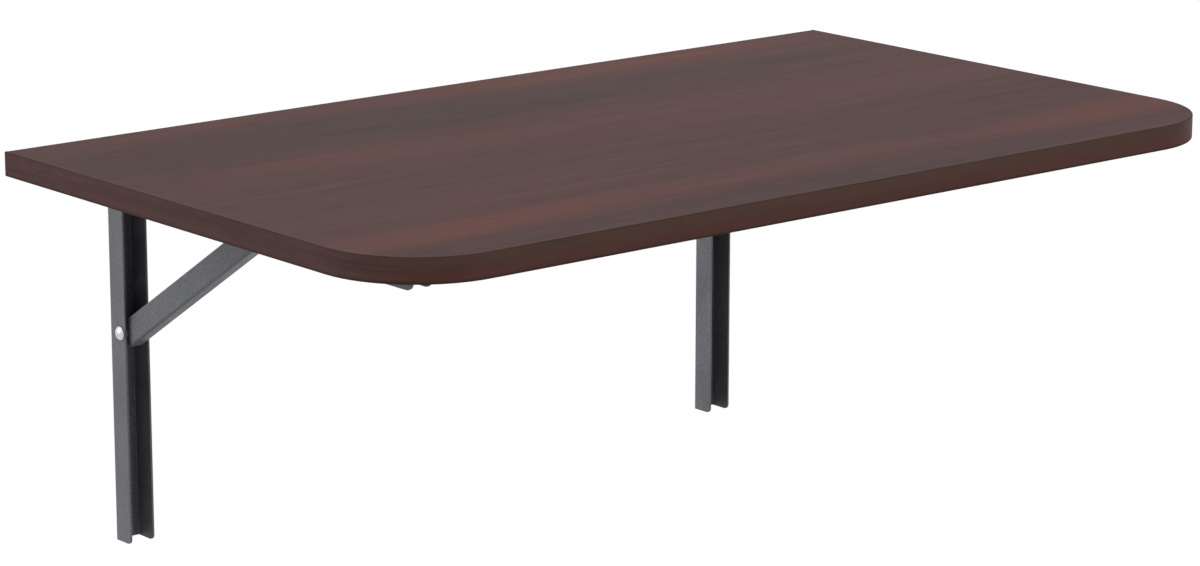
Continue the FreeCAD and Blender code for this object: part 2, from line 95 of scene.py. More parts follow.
class Graph:
    """A material and short ways to add nodes to it. A value is a number, a colour or a node's socket."""

    def __init__(self, name):
        self.material = bpy.data.materials.new(name)
        self.material.use_nodes = True
        self.tree = self.material.node_tree
        self.tree.nodes.clear()
        self.place = self.node("ShaderNodeTexCoord").outputs["Object"]

    def node(self, kind, **settings):
        made = self.tree.nodes.new(kind)
        for name, value in settings.items():
            setattr(made, name, value)
        return made

    def feed(self, socket, value):
        """Link a socket to a value, or set it."""
        if isinstance(value, bpy.types.NodeSocket):
            self.tree.links.new(value, socket)
        else:
            socket.default_value = value

    def math(self, operation, first, second=0.0):
        made = self.node("ShaderNodeMath", operation=operation)
        self.feed(made.inputs[0], first)
        self.feed(made.inputs[1], second)
        return made.outputs[0]

    def weighted(self, values, shares):
        """Sum of the values, each times its share."""
        total = 0.0
        for value, share in zip(values, shares):
            total = self.math("ADD", self.math("MULTIPLY", value, share), total)
        return total

    def vector_math(self, operation, first, second=(0.0, 0.0, 0.0), output="Vector"):
        made = self.node("ShaderNodeVectorMath", operation=operation)
        self.feed(made.inputs[0], first)
        self.feed(made.inputs[1], second)
        return made.outputs[output]

    def axis(self, vector, name):
        """One part of a vector."""
        made = self.node("ShaderNodeSeparateXYZ")
        self.feed(made.inputs[0], vector)
        return made.outputs[name]

    def in_cells(self, vector, cell):
        """A place counted in cells; a cell is three lengths."""
        return self.vector_math("MULTIPLY", vector, tuple(1 / length for length in cell))

    def noise(self, vector, cell, kind=SOFT):
        """Noise from 0 to 1 whose features are as large as a cell."""
        detail, roughness = kind
        made = self.node("ShaderNodeTexNoise")
        self.feed(made.inputs["Vector"], self.in_cells(vector, cell))
        self.feed(made.inputs["Scale"], 1.0)
        self.feed(made.inputs["Detail"], detail)
        self.feed(made.inputs["Roughness"], roughness)
        return made.outputs["Fac"]

    def span(self, value, start, end=(0.0, 1.0)):
        """Carry a value from one range to another, smoothly and held at the ends."""
        made = self.node("ShaderNodeMapRange", interpolation_type="SMOOTHSTEP")
        for socket, number in zip(made.inputs, (value, *start, *end)):
            self.feed(socket, number)
        return made.outputs["Result"]

    def mix(self, share, first, second, blend="MIX"):
        """The first colour, with a share of the second laid over it."""
        made = self.node("ShaderNodeMix", data_type="RGBA", blend_type=blend)
        sockets = {socket.identifier: socket for socket in (*made.inputs, *made.outputs)}
        self.feed(sockets["Factor_Float"], share)
        self.feed(sockets["A_Color"], first)
        self.feed(sockets["B_Color"], second)
        return sockets["Result_Color"]

    def bump(self, height, depth, normal=None):
        """Relief as deep as depth on a height from 0 to 1."""
        made = self.node("ShaderNodeBump")
        self.feed(made.inputs["Strength"], 1.0)
        self.feed(made.inputs["Distance"], depth)
        self.feed(made.inputs["Height"], height)
        if normal is not None:
            self.feed(made.inputs["Normal"], normal)
        return made.outputs["Normal"]

    def rounded_normal(self, radius):
        made = self.node("ShaderNodeBevel", samples=BEVEL_SAMPLES)
        self.feed(made.inputs["Radius"], radius)
        return made.outputs["Normal"]

    def edge_mask(self, rounded):
        """1 on edges, where the rounded normal leaves the face's own, and 0 on flats."""
        flat = self.node("ShaderNodeNewGeometry").outputs["True Normal"]
        cosine = self.vector_math("DOT_PRODUCT", rounded, flat, output="Value")
        return self.span(cosine, EDGE_COSINES)

    def surface(self, **values):
        """The finished surface; values name the shader's own sockets."""
        shader = self.node("ShaderNodeBsdfPrincipled")
        for name, value in values.items():
            self.feed(shader.inputs[name.replace("_", " ")], value)
        self.show(shader.outputs[0])

    def blend(self, share, first, second):
        """The first shader, with a share of the second in its place."""
        made = self.node("ShaderNodeMixShader")
        for socket, value in zip(made.inputs, (share, first, second)):
            self.feed(socket, value)
        return made.outputs[0]

    def show(self, shading):
        output = self.node("ShaderNodeOutputMaterial")
        self.tree.links.new(shading, output.inputs["Surface"])


# Printed wood of the laminates. Its figure lies in X and Y, so a cell is very tall.
WOOD_DARK = srgb(67, 49, 48)
WOOD_LIGHT = srgb(82, 59, 57)
WOOD_WARM = srgb(101, 60, 52)
WOOD_GREY = srgb(60, 51, 47)
WOOD_PORE = srgb(40, 29, 28)
WOOD_SWAY = 26 * MM
WOOD_SWAY_CELL = mm(320, 70, 1000)
WOOD_BROAD_CELL = mm(800, 60, 1000)
WOOD_RING_CELL = mm(500, 9, 1000)
WOOD_FIBRE_CELL = mm(120, 1.6, 1000)
WOOD_RAGGED_CELL = mm(200, 12, 1000)
WOOD_PORE_CELL = mm(30, 0.7, 1000)
WOOD_PORE_RANGE = (0.6, 0.7)
WOOD_PORE_SHARE = 0.4
WOOD_PORE_DEPTH = 0.03 * MM
# Shares of the broad figure, the rings and the fibres in the tone.
WOOD_TONE_SHARES = (0.5, 0.3, 0.2)
# Shares of the ragged noise and the fibres in the streaks' edges, and the gain that they give.
WOOD_RAGGED_SHARES = (0.6, 0.4)
WOOD_RAGGED_GAIN = (0.5, 1.5)
WOOD_STREAK_SHARE = 0.7
WOOD_ROUGHNESS = (0.56, 0.66)
WOOD_SPECULAR = 0.03
# Wide streaks: middle along the width and along the depth from the wall, half length, half width, warmth.
STREAK_SHARES = (
    (0.25, 0.04, 0.50, 0.08, 0.40),
    (0.75, 0.04, 0.45, 0.09, 0.58),
    (0.30, 0.20, 0.65, 0.18, -0.75),
    (0.78, 0.20, 0.60, 0.15, -0.55),
    (0.17, 0.36, 0.24, 0.08, 0.45),
    (0.40, 0.38, 0.35, 0.09, 0.20),
    (0.62, 0.46, 0.40, 0.10, 0.12),
    (0.65, 0.66, 0.65, 0.18, -0.30),
    (0.14, 0.87, 0.36, 0.12, 0.62),
    (0.55, 0.86, 0.50, 0.12, 0.30),
    (0.94, 0.85, 0.26, 0.13, 0.62),
    (0.50, 0.97, 1.00, 0.07, -0.60),
)


def board_warmth(graph, place):
    """Sum of the wide streaks, about -1 to 1: warm ones positive, grey ones negative."""
    low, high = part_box("top_laminate")
    size = high - low
    total = 0.0
    for along, deep, half_length, half_width, warmth in STREAK_SHARES:
        middle = (low.x + along * size.x, high.y - deep * size.y, 0.0)
        per_reach = (1 / (half_length * size.x), 1 / (half_width * size.y), 0.0)
        away = graph.vector_math("SUBTRACT", place, middle)
        away = graph.vector_math("MULTIPLY", away, per_reach)
        distance = graph.vector_math("LENGTH", away, output="Value")
        share = graph.span(distance, (0.0, 1.0), (warmth, 0.0))
        total = graph.math("ADD", share, total)
    return total


def wenge_laminate():
    """Dark printed wood, its grain along the width, under a satin sealing coat."""
    graph = Graph("wenge_laminate_finish")
    sway = graph.math("SUBTRACT", graph.noise(graph.place, WOOD_SWAY_CELL), NOISE_MIDDLE)
    shift = graph.node("ShaderNodeCombineXYZ")
    graph.feed(shift.inputs["Y"], graph.math("MULTIPLY", sway, WOOD_SWAY))
    place = graph.vector_math("ADD", graph.place, shift.outputs["Vector"])
    broad = graph.noise(place, WOOD_BROAD_CELL)
    rings = graph.noise(place, WOOD_RING_CELL, ROUGH)
    fibres = graph.noise(place, WOOD_FIBRE_CELL, ROUGH)
    pores = graph.span(graph.noise(place, WOOD_PORE_CELL, SPOTTY), WOOD_PORE_RANGE)
    tone = graph.weighted((broad, rings, fibres), WOOD_TONE_SHARES)
    colour = graph.mix(graph.span(tone, MOST), WOOD_DARK, WOOD_LIGHT)
    ragged = graph.noise(place, WOOD_RAGGED_CELL, ROUGH)
    ragged = graph.weighted((ragged, fibres), WOOD_RAGGED_SHARES)
    gain = graph.span(ragged, NEAR_MIDDLE, WOOD_RAGGED_GAIN)
    warmth = graph.math("MULTIPLY", board_warmth(graph, place), gain)
    for limit, tint in ((1.0, WOOD_WARM), (-1.0, WOOD_GREY)):
        share = graph.span(warmth, (0.0, limit), (0.0, WOOD_STREAK_SHARE))
        colour = graph.mix(share, colour, tint)
    colour = graph.mix(graph.math("MULTIPLY", pores, WOOD_PORE_SHARE), colour, WOOD_PORE)
    graph.surface(
        Base_Color=colour,
        Roughness=graph.span(fibres, MOST, WOOD_ROUGHNESS),
        Normal=graph.bump(pores, -WOOD_PORE_DEPTH),
        Specular_IOR_Level=WOOD_SPECULAR,
    )
    return graph.material


# Edging. Its figure runs along the strip, so a cell is flat.
BAND_DARK = srgb(68, 50, 49)
BAND_LIGHT = srgb(91, 67, 64)
BAND_LOWER_TINT = srgb(90, 57, 47)
BAND_UPPER_TINT = srgb(86, 63, 51)
# Dark glue seam along the top, also used as painted shade along the foot.
BAND_SEAM_AND_SHADE = srgb(30, 21, 20)
BAND_BROAD_CELL = mm(350, 350, 14)
BAND_LINE_CELL = mm(160, 160, 2.2)
BAND_FIBRE_CELL = mm(50, 50, 0.7)
BAND_PATCH_CELL = mm(18, 18, 5)
# Shares of the broad figure, the lines, the fibres and the patches in the tone.
BAND_TONE_SHARES = (0.3, 0.3, 0.15, 0.25)
BAND_TONE_RANGE = (0.32, 0.68)
# Heights above the foot between which the lower tint gives way to the upper one.
BAND_TINT_HEIGHTS = mm(7, 12)
# Share of the tint on the left side, and from this run past it on.
BAND_TINT_SHARES = (0.05, 0.55)
BAND_TINT_RUN = 30 * MM
# Where the dark glue seam and the painted shade start and are whole: the seam below the top, the shade above
# the foot.
BAND_UPPER_SEAM = mm(1.2, 0.2)
BAND_LOWER_SHADE = mm(3.2, 0.2)
BAND_SEAM_AND_SHADE_SHARE = 0.6
BAND_LINE_DEPTH = 0.04 * MM
BAND_ROUGHNESS = (0.5, 0.6)
BAND_SPECULAR = 0.05


def edge_band():
    """The same wood as a glued strip: grain along the strip, browner past its left side, a dark seam along
    the top and painted shade along the foot.
    """
    graph = Graph("edge_band_finish")
    low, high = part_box("edge_band")
    broad = graph.noise(graph.place, BAND_BROAD_CELL)
    lines = graph.noise(graph.place, BAND_LINE_CELL, ROUGH)
    fibres = graph.noise(graph.place, BAND_FIBRE_CELL, STRINGY)
    patches = graph.noise(graph.place, BAND_PATCH_CELL, ROUGH)
    tone = graph.weighted((broad, lines, fibres, patches), BAND_TONE_SHARES)
    colour = graph.mix(graph.span(tone, BAND_TONE_RANGE), BAND_DARK, BAND_LIGHT)
    height = graph.axis(graph.place, "Z")
    upwards = graph.span(height, [low.z + rise for rise in BAND_TINT_HEIGHTS])
    tint = graph.mix(upwards, BAND_LOWER_TINT, BAND_UPPER_TINT)
    along = graph.axis(graph.place, "X")
    share = graph.span(along, (low.x, low.x + BAND_TINT_RUN), BAND_TINT_SHARES)
    colour = graph.mix(share, colour, tint)
    # A dark glue seam under the top, and painted shade along the foot.
    upper = graph.span(height, [high.z - drop for drop in BAND_UPPER_SEAM])
    lower = graph.span(height, [low.z + rise for rise in BAND_LOWER_SHADE])
    rim = graph.math("MAXIMUM", upper, lower)
    colour = graph.mix(graph.math("MULTIPLY", rim, BAND_SEAM_AND_SHADE_SHARE), colour, BAND_SEAM_AND_SHADE)
    graph.surface(
        Base_Color=colour,
        Roughness=graph.span(lines, MOST, BAND_ROUGHNESS),
        Normal=graph.bump(lines, BAND_LINE_DEPTH),
        Specular_IOR_Level=BAND_SPECULAR,
    )
    return graph.material


# Core of the board.
CHIP_DARK = srgb(150, 118, 82)
CHIP_LIGHT = srgb(206, 176, 134)
CHIP_CELL = mm(4, 3, 1)
CHIP_DEPTH = 0.2 * MM
CHIP_ROUGHNESS = 0.85


def particle_board():
    """Pressed wood chips of many browns."""
    graph = Graph("particle_board_finish")
    chips = graph.node("ShaderNodeTexVoronoi")
    graph.feed(chips.inputs["Vector"], graph.in_cells(graph.place, CHIP_CELL))
    graph.feed(chips.inputs["Scale"], 1.0)
    shade = graph.axis(chips.outputs["Color"], "X")
    graph.surface(
        Base_Color=graph.mix(shade, CHIP_DARK, CHIP_LIGHT),
        Roughness=CHIP_ROUGHNESS,
        Normal=graph.bump(chips.outputs["Distance"], CHIP_DEPTH),
    )
    return graph.material


# Powder coat of the brackets.
PAINT_DARK = srgb(98, 99, 104)
PAINT_LIGHT = srgb(111, 112, 117)
PAINT_SPECK = srgb(146, 147, 152)
PAINT_WORN = srgb(156, 157, 162)
# Painted shade round the rivet heads.
PAINT_RIVET_SHADE = srgb(44, 44, 47)
PAINT_EDGE_RADIUS = 0.5 * MM
PAINT_MOTTLE_CELL = mm(30, 30, 50)
PAINT_PEEL_CELL = mm(1.6, 1.6, 1.6)
PAINT_PEEL_DEPTH = 0.16 * MM
PAINT_SPECK_CELL = mm(0.35, 0.35, 0.35)
PAINT_SPECK_RANGE = (0.55, 0.75)
PAINT_SPECK_SHARES = (0.0, 0.35)
PAINT_GRAIN_CELL = mm(0.9, 0.9, 0.9)
PAINT_GRAIN_GAIN = (0.68, 1.3)
PAINT_WORN_SHARES = (0.1, 0.5)
PAINT_ROUGHNESS = (0.42, 0.55)
PAINT_SPECULAR = 0.3
# Painted shade: a dark ring on the sheet round a rivet's head, for the head's shadow. Without X it shows on
# both brackets.
RIVET_SHADE_WIDTH = 1.4 * MM
RIVET_SHADE_SHARE = 0.75
WITHOUT_X = (0.0, 1.0, 1.0)


def rivet_shade_mask(graph, node):
    """Share of the painted shade, for the head's shadow, on the sheet round a rivet."""
    low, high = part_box(node)
    away = graph.vector_math("SUBTRACT", graph.place, middle_of(node))
    away = graph.vector_math("MULTIPLY", away, WITHOUT_X)
    distance = graph.vector_math("LENGTH", away, output="Value")
    head = (high.z - low.z) / 2
    return graph.span(distance, (head, head + RIVET_SHADE_WIDTH), (RIVET_SHADE_SHARE, 0.0))


def painted_steel():
    """Grey powder coat: a fine orange peel, small changes of tone, paint worn thin on the edges and painted
    shade round the rivet heads.
    """
    graph = Graph("painted_steel_finish")
    rounded = graph.rounded_normal(PAINT_EDGE_RADIUS)
    mottle = graph.noise(graph.place, PAINT_MOTTLE_CELL, CLOUDY)
    peel = graph.noise(graph.place, PAINT_PEEL_CELL, CLOUDY)
    specks = graph.noise(graph.place, PAINT_SPECK_CELL, SPOTTY)
    grain = graph.noise(graph.place, PAINT_GRAIN_CELL, ROUGH)
    colour = graph.mix(graph.span(mottle, MOST), PAINT_DARK, PAINT_LIGHT)
    colour = graph.mix(graph.span(specks, PAINT_SPECK_RANGE, PAINT_SPECK_SHARES), colour, PAINT_SPECK)
    colour = graph.mix(1.0, colour, graph.span(grain, MOST, PAINT_GRAIN_GAIN), "MULTIPLY")
    thin = graph.span(mottle, NEAR_MIDDLE, PAINT_WORN_SHARES)
    worn = graph.math("MULTIPLY", graph.edge_mask(rounded), thin)
    colour = graph.mix(worn, colour, PAINT_WORN)
    # Painted shade round the rivet heads, standing for their shadow on the sheet.
    for rivet in ("left_hinge_rivet", "left_brace_rivet"):
        colour = graph.mix(rivet_shade_mask(graph, rivet), colour, PAINT_RIVET_SHADE)
    graph.surface(
        Base_Color=colour,
        Roughness=graph.span(mottle, MOST, PAINT_ROUGHNESS),
        Normal=graph.bump(peel, PAINT_PEEL_DEPTH, rounded),
        Specular_IOR_Level=PAINT_SPECULAR,
    )
    return graph.material


# Zinc plate of the fasteners.
ZINC_YELLOW = srgb(206, 204, 196)
ZINC_BLUE = srgb(198, 202, 210)
ZINC_CAST_CELL = mm(3, 3, 3)
ZINC_SCRATCH_CELL = mm(1.5, 0.12, 0.12)
ZINC_SCRATCH_DEPTH = 0.004 * MM
ZINC_ROUGHNESS = (0.2, 0.36)


def zinc():
    """Bright zinc plate with fine scratches and a faint yellow and blue cast."""
    graph = Graph("zinc_finish")
    cast = graph.noise(graph.place, ZINC_CAST_CELL)
    scratches = graph.noise(graph.place, ZINC_SCRATCH_CELL)
    graph.surface(
        Base_Color=graph.mix(graph.span(cast, NEAR_MIDDLE), ZINC_YELLOW, ZINC_BLUE),
        Metallic=1.0,
        Roughness=graph.span(scratches, MOST, ZINC_ROUGHNESS),
        Normal=graph.bump(scratches, ZINC_SCRATCH_DEPTH),
    )
    return graph.material


# Tempered strip of the catches.
TEMPER_BLUE = srgb(110, 113, 122)
TEMPER_STRAW = srgb(128, 121, 111)
TEMPER_CELL = mm(10, 14, 10)
TEMPER_RANGE = (0.4, 0.7)
ROLLED_CELL = mm(0.15, 4, 0.4)
ROLLED_DEPTH = 0.01 * MM
ROLLED_ROUGHNESS = (0.28, 0.44)


def spring_steel():
    """Dark tempered strip, blue grey with straw patches, rolled along its length."""
    graph = Graph("spring_steel_finish")
    temper = graph.noise(graph.place, TEMPER_CELL)
    rolled = graph.noise(graph.place, ROLLED_CELL)
    graph.surface(
        Base_Color=graph.mix(graph.span(temper, TEMPER_RANGE), TEMPER_BLUE, TEMPER_STRAW),
        Metallic=1.0,
        Roughness=graph.span(rolled, MOST, ROLLED_ROUGHNESS),
        Normal=graph.bump(rolled, ROLLED_DEPTH),
    )
    return graph.material


def dress_frame():
    """Give every node of the frame the finish of its slot, and return the finishes by slot."""
    makers = (wenge_laminate, edge_band, particle_board, painted_steel, zinc, spring_steel)
    finishes = {make.__name__: make() for make in makers}
    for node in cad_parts.values():
        slot = node.material_slots[0]
        slot.material = finishes[slot.material.name]
    return finishes


# Fasteners. A turned shape has this many sides, and an arc in its outline this many steps.
TURN_SIDES = 48
ARC_STEPS = 10
SHARP_ANGLE = math.radians(35)
# Carries a shape's own +X straight down.
DOWNWARD = Matrix.Rotation(math.pi / 2, 4, "Y")


def steps(first, last, count=ARC_STEPS):
    """Evenly spaced numbers from first to last."""
    return [first + (last - first) * i / count for i in range(count + 1)]


def cap_arc(top, half_width, height):
    """Half outline (along, out) of a ball's cap, from its pole to its edge."""
    ball = (half_width ** 2 + height ** 2) / (2 * height)
    centre = top - ball
    angles = steps(0, math.asin(half_width / ball))
    return [(centre + ball * math.cos(a), ball * math.sin(a)) for a in angles]


def turned(made, outline, carry, lift=None):
    """Add a turned solid to a mesh in making; lift adds to the radius by place along and share of a turn."""
    rings = []
    for along, out in outline:
        if out == 0:
            rings.append([made.verts.new(carry @ Vector((along, 0, 0)))])
            continue
        ring = []
        for i in range(TURN_SIDES):
            turn = i / TURN_SIDES
            radius = out + (lift(along, turn) if lift else 0)
            angle = math.tau * turn
            point = Vector((along, radius * math.cos(angle), radius * math.sin(angle)))
            ring.append(made.verts.new(carry @ point))
        rings.append(ring)
    for first, second in zip(rings, rings[1:]):
        for i in range(TURN_SIDES):
            after = (i + 1) % TURN_SIDES
            corners = [first[i % len(first)], first[after % len(first)]]
            corners += [second[after % len(second)], second[i % len(second)]]
            made.faces.new(list(dict.fromkeys(corners)))


def to_object(name, made):
    """Turn a mesh in making into an object of the scene."""
    bmesh.ops.recalc_face_normals(made, faces=made.faces)
    mesh = bpy.data.meshes.new(name)
    made.to_mesh(mesh)
    made.free()
    item = bpy.data.objects.new(name, mesh)
    bpy.context.scene.collection.objects.link(item)
    return item


def cut_away(piece, cutter):
    """Cut a mesh in making out of a piece."""
    tool = to_object(f"{piece.name}_cutter", cutter)
    cut = piece.modifiers.new("cut", "BOOLEAN")
    cut.object = tool
    cut.solver = "EXACT"
    solid = piece.evaluated_get(bpy.context.evaluated_depsgraph_get())
    mesh = bpy.data.meshes.new_from_object(solid)
    piece.modifiers.clear()
    piece.data = mesh
    bpy.data.objects.remove(tool)


def add_piece(name, made, node, body, finish, cutter=None):
    """Make a piece that rides on a body and stands for a node of the frame."""
    piece = to_object(name, made)
    if cutter:
        cut_away(piece, cutter)
    piece.data.materials.clear()
    piece.data.materials.append(finish)
    piece.data.shade_smooth()
    piece.data.set_sharp_from_angle(angle=SHARP_ANGLE)
    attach(piece, body)
    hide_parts(node)


# Rivets and pins.
RIVET_SHANK = 3 * MM
RIVET_HEAD_HEIGHT = 3 * MM
PIN_SHANK = 3 * MM
PIN_HEAD_HEIGHT = 1.8 * MM
LOCK_RIVET_SHANK = 1.6 * MM
LOCK_RIVET_HEAD_HEIGHT = 1.2 * MM
# A round head's upright rim as a share of its height, and how far up the rim its side is straight.
RIM_SHARE = 0.22
RIM_STRAIGHT_SHARE = 0.8
# A rolled tail: the bead's middle as a share of the radius, shares of the height, and the bead's inner end.
BEAD_MIDDLE_SHARE = 0.6
BEAD_HEIGHT_SHARE = 0.7
DIMPLE_SHARE = 0.15
BEAD_INNER_ANGLE = math.radians(150)


def outward(side):
    """Carries a shape's own +X to the side of the bracket that faces away from the table's middle."""
    return Matrix.Rotation(math.pi, 4, "Z") if side == "left" else Matrix.Identity(4)


def domed_end(seat, radius, height):
    """Half outline of a round head, from its pole to the face it sits on."""
    rim = height * RIM_SHARE
    dome = cap_arc(seat + height, radius, height - rim)
    return dome[:-1] + [(seat + rim * RIM_STRAIGHT_SHARE, radius), (seat, radius)]


def rolled_end(seat, radius, height):
    """Half outline of a tail that is rolled over, from the dimple in its middle to its foot."""
    middle = radius * BEAD_MIDDLE_SHARE
    half = radius - middle
    crest = height * BEAD_HEIGHT_SHARE
    angles = steps(BEAD_INNER_ANGLE, 0)
    bead = [(seat + crest * math.sin(a), middle + half * math.cos(a)) for a in angles]
    return [(seat + height * DIMPLE_SHARE, 0.0)] + bead


def far_end(outline):
    """The same end on the other side."""
    return [(-along, out) for along, out in reversed(outline)]


def make_rivet(side, kind, body, shank, head_height, finish):
    """Cross rivet with a round head outside and a rolled tail inside."""
    node = f"{side}_{kind}"
    low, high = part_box(node)
    radius = (high.z - low.z) / 2
    seat = (high.x - low.x) / 2 - head_height
    outline = domed_end(seat, radius, head_height)
    outline += [(seat, shank), (-seat, shank)]
    outline += far_end(rolled_end(seat, radius, head_height))
    made = bmesh.new()
    turned(made, outline, Matrix.Translation(middle_of(node)) @ outward(side))
    add_piece(f"{node}_formed", made, node, body, finish)


def make_lock_rivet(side, finish):
    """Blind rivet of the spring: flush above, a rolled head below."""
    node = f"{side}_lock_rivet"
    low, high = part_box(node)
    seat = high.z - low.z - LOCK_RIVET_HEAD_HEIGHT
    radius = (high.x - low.x) / 2
    outline = rolled_end(seat, radius, LOCK_RIVET_HEAD_HEIGHT)
    outline += [(seat, LOCK_RIVET_SHANK), (0, LOCK_RIVET_SHANK), (0, 0)]
    place = middle_of(node)
    place.z = high.z
    made = bmesh.new()
    turned(made, outline, Matrix.Translation(place) @ DOWNWARD)
    add_piece(f"{node}_formed", made, node, "leaf", finish)


# Wood screws up into the board: pan head, cross recess and thread.
SCREW_HEAD_RADIUS = 4 * MM
SCREW_HEAD_HEIGHT = 2.2 * MM
SCREW_SHOULDER_SHARE = 0.75
SCREW_FOOT_SHARE = 0.25
SCREW_NECK = 2 * MM
SCREW_CORE = 1.35 * MM
SCREW_POINT = 3.2 * MM
RECESS_REACH = 2.3 * MM
RECESS_HALF_WIDTH = 0.5 * MM
RECESS_DEPTH = 1.5 * MM
RECESS_FLOOR_SHARE = 0.45
THREAD_START = 3 * MM
THREAD_HEIGHT = 0.6 * MM
THREAD_PITCH = 1.6 * MM
THREAD_STEPS = 8
# A crest's place in each pitch, and how far it slopes to either side, as shares of the pitch.
CREST_SHARE = 0.5
SLOPE_SHARE = 0.25


def rows_of(node):
    """Middles along Y of a node's separate solids, found by the gaps between its points."""
    places = sorted(point.co.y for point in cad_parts[node].data.vertices)
    rows = [[places[0]]]
    for place in places[1:]:
        if place - rows[-1][-1] > SCREW_HEAD_RADIUS:
            rows.append([])
        rows[-1].append(place)
    return [(row[0] + row[-1]) / 2 for row in rows]


def point_share(along, length):
    """Share of the full thickness that a screw has at a place along, as it thins to its point."""
    return min(1, (along + length) / SCREW_POINT)


def screw_outline(length):
    """Half outline of a pan head screw from the head's crown to the point; 0 is the face it sits on."""
    shoulder = SCREW_HEAD_RADIUS * SCREW_SHOULDER_SHARE
    brow = SCREW_HEAD_HEIGHT * SCREW_SHOULDER_SHARE
    foot = brow * SCREW_FOOT_SHARE
    head = cap_arc(SCREW_HEAD_HEIGHT, shoulder, SCREW_HEAD_HEIGHT - brow)
    for a in steps(0, math.pi / 2)[1:]:
        along = foot + (brow - foot) * math.cos(a)
        head.append((along, shoulder + (SCREW_HEAD_RADIUS - shoulder) * math.sin(a)))
    head += [(0, SCREW_HEAD_RADIUS), (0, SCREW_NECK), (-SCREW_NECK, SCREW_NECK)]
    count = round((length - SCREW_NECK) / THREAD_PITCH * THREAD_STEPS)
    rows = steps(-SCREW_NECK, -length, count)[1:-1]
    stem = [(along, SCREW_CORE * point_share(along, length)) for along in rows]
    return head + stem + [(-length, 0)]


def cross_cutter(made, carry):
    """A tapered cross that cuts the recess of a screw's head."""
    reach, half = RECESS_REACH, RECESS_HALF_WIDTH
    plan = [(half, half), (half, reach), (-half, reach), (-half, half), (-reach, half), (-reach, -half)]
    plan += [(-y, -z) for y, z in plan]
    top = SCREW_HEAD_HEIGHT + RECESS_DEPTH
    floor = SCREW_HEAD_HEIGHT - RECESS_DEPTH
    share = RECESS_FLOOR_SHARE
    upper = [made.verts.new(carry @ Vector((top, y, z))) for y, z in plan]
    lower = [made.verts.new(carry @ Vector((floor, y * share, z * share))) for y, z in plan]
    made.faces.new(upper)
    made.faces.new(lower)
    for i in range(len(plan)):
        after = (i + 1) % len(plan)
        made.faces.new((upper[i], upper[after], lower[after], lower[i]))


def make_screws(side, finish):
    """The arm's wood screws: pan heads below the arm's web, threads up in the board."""
    node = f"{side}_arm_screws"
    low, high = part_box(node)
    seat = low.z + SCREW_HEAD_HEIGHT
    length = high.z - seat
    outline = screw_outline(length)

    def thread(along, turn):
        if along > -THREAD_START:
            return 0
        away = abs((along / THREAD_PITCH - turn) % 1 - CREST_SHARE)
        return THREAD_HEIGHT * max(0, 1 - away / SLOPE_SHARE) * point_share(along, length)

    made = bmesh.new()
    cutter = bmesh.new()
    for y in rows_of(node):
        carry = Matrix.Translation(((low.x + high.x) / 2, y, seat)) @ DOWNWARD
        turned(made, outline, carry, thread)
        cross_cutter(cutter, carry)
    add_piece(f"{node}_threaded", made, node, "leaf", finish, cutter)


# Spring strips of the catches.
SPRING_THICKNESS = 0.8 * MM
SPRING_BEND = 1.7 * MM
SPRING_TAB = 9 * MM
SPRING_CORNER = 2.2 * MM
SPRING_EDGE = 0.12 * MM
SPRING_EDGE_STEPS = 2
ROUND_PROFILE = 0.5
# How far above the strip the drill for its rivet starts, as a share of the spring's height.
DRILL_START_SHARE = 0.25


def bent_line(corners, radius):
    """A line through square corners, each rounded by an arc."""
    line = [corners[0]]
    for before, corner, after in zip(corners, corners[1:], corners[2:]):
        arriving = (corner - before).normalized()
        leaving = (after - corner).normalized()
        centre = corner + (leaving - arriving) * radius
        for a in steps(0, math.pi / 2):
            line.append(centre + (arriving * math.sin(a) - leaving * math.cos(a)) * radius)
    return line + [corners[-1]]


def strip_profile(line, half):
    """Closed outline of a strip along a line, half its thickness to either side."""
    outer, inner = [], []
    for before, point, after in zip(line[:1] + line, line, line[1:] + line[-1:]):
        run = (after - before).normalized()
        aside = Vector((-run.y, run.x)) * half
        outer.append(point + aside)
        inner.append(point - aside)
    return outer + inner[::-1]


def is_corner(edge, y):
    """Whether an edge stands upright at the strip's end at y, to within the rounding of its edges."""
    first, second = (point.co for point in edge.verts)
    upright = abs(first.x - second.x) < SPRING_EDGE and abs(first.y - second.y) < SPRING_EDGE
    return upright and abs(first.y - y) < SPRING_EDGE


def round_edges(made, edges, radius, count):
    bmesh.ops.bevel(made, geom=edges, offset=radius, segments=count, affect="EDGES", profile=ROUND_PROFILE)


def spring_strip(low, high):
    """The bent strip as a mesh in making, with rounded corners and edges."""
    half = SPRING_THICKNESS / 2
    leg = high.y - half
    tab_end = high.y - SPRING_TAB
    line = bent_line([
        Vector((low.y, high.z - half)),
        Vector((leg, high.z - half)),
        Vector((leg, low.z + half)),
        Vector((tab_end, low.z + half)),
    ], SPRING_BEND)
    made = bmesh.new()
    profile = made.faces.new([made.verts.new((low.x, p.x, p.y)) for p in strip_profile(line, half)])
    grown = bmesh.ops.extrude_face_region(made, geom=[profile])["geom"]
    moved = [item for item in grown if isinstance(item, bmesh.types.BMVert)]
    bmesh.ops.translate(made, vec=Vector((high.x - low.x, 0, 0)), verts=moved)
    ends = [edge for edge in made.edges if is_corner(edge, low.y) or is_corner(edge, tab_end)]
    round_edges(made, ends, SPRING_CORNER, ARC_STEPS)
    bmesh.ops.recalc_face_normals(made, faces=made.faces)
    sharp = [edge for edge in made.edges if edge.calc_face_angle(0) > SHARP_ANGLE]
    round_edges(made, sharp, SPRING_EDGE, SPRING_EDGE_STEPS)
    return made


